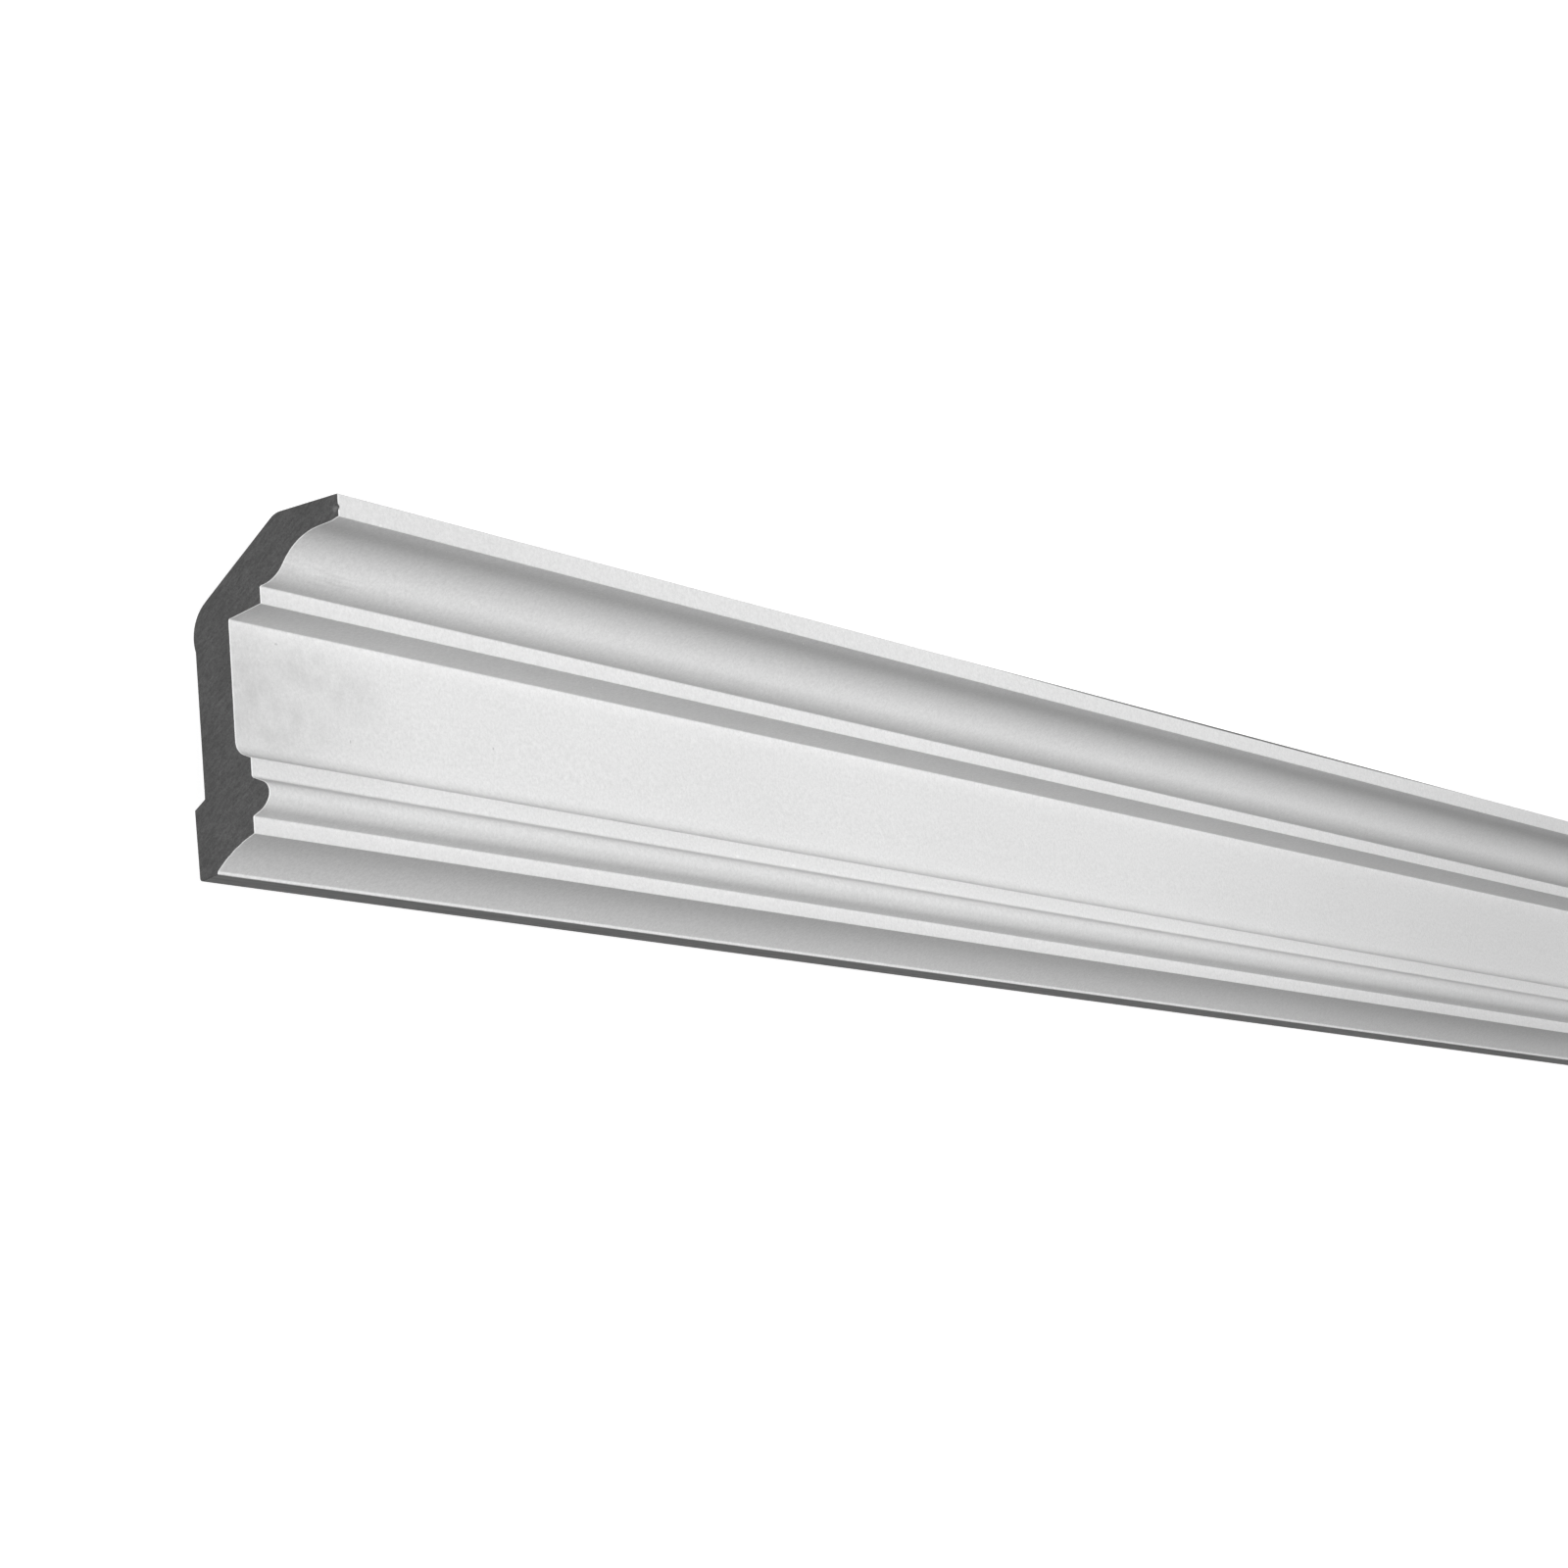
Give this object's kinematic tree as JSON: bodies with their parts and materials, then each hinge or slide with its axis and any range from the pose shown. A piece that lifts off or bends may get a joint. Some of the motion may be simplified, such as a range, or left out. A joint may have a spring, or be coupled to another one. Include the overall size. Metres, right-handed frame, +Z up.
{
  "type": "cornice moulding",
  "caption": "Stock length of primed foam cornice moulding for the corner of wall and ceiling, with cyma, fascia and bead, lying on its back.",
  "frame": {"origin": "centre of the base of the moulding's box as it lies on its back on a level floor, at the middle of its length", "axes": "+X along the length, +Y from the lower edge towards the ceiling edge, +Z up, out of the face"},
  "size_m": [2, 0.1048, 0.0548],
  "materials": {
    "primed_face": "matt white primer on a moulded skin, with bare grey foam at the back and the sawn ends"
  },
  "bodies": {
    "root": {"cornice": "primed_face"}
  },
  "joints": []
}
